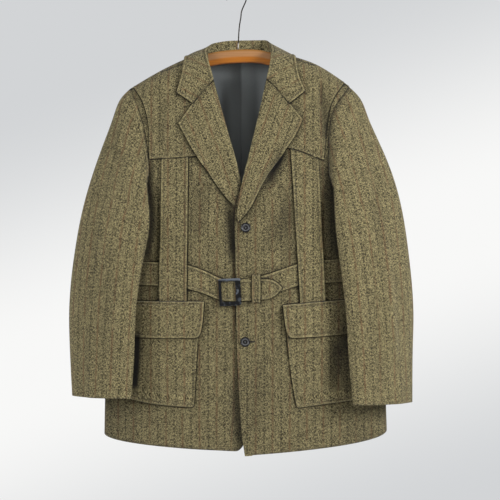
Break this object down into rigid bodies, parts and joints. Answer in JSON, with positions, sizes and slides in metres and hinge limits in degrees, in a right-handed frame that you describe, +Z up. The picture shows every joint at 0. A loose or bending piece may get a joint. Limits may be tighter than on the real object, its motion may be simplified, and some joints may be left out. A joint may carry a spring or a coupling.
{
  "type": "tweed shooting jacket on a clothes hanger",
  "caption": "Belted tweed jacket with notched lapels, shoulder yokes, applied straps and flapped patch pockets, hanging buttoned on a wooden hanger with a wire hook.",
  "frame": {"origin": "inside top of the hanger's hook, where it hangs on a rail", "axes": "+Z up, +X towards the wearer's left side (the viewer's right), +Y towards the back"},
  "size_m": [0.6977, 0.1494, 0.9429],
  "materials": {
    "tweed": "matt herringbone wool",
    "satin": "dark satin lining",
    "varnished_wood": "orange-brown varnish",
    "steel_wire": "dull drawn wire",
    "dark_plastic": "gloss",
    "dark_horn": "polished"
  },
  "bodies": {
    "root": {"front_right": "tweed", "front_left": "tweed", "back": "tweed", "sleeve_top_right": "tweed", "sleeve_under_right": "tweed", "sleeve_top_left": "tweed", "sleeve_under_left": "tweed", "collar_fall": "tweed", "collar_stand": "tweed", "lapel_right": "tweed", "lapel_left": "tweed", "yoke_right": "tweed", "yoke_left": "tweed", "strap_right": "tweed", "strap_left": "tweed", "belt_right": "tweed", "belt_left": "tweed", "belt_back": "tweed", "belt_keeper": "tweed", "pocket_right": "tweed", "pocket_left": "tweed", "flap_right": "tweed", "flap_left": "tweed", "lining_back": "satin", "hanger_bar": "varnished_wood", "hanger_hook": "steel_wire", "buckle": "dark_plastic", "button_upper": "dark_horn", "button_lower": "dark_horn"}
  },
  "joints": []
}
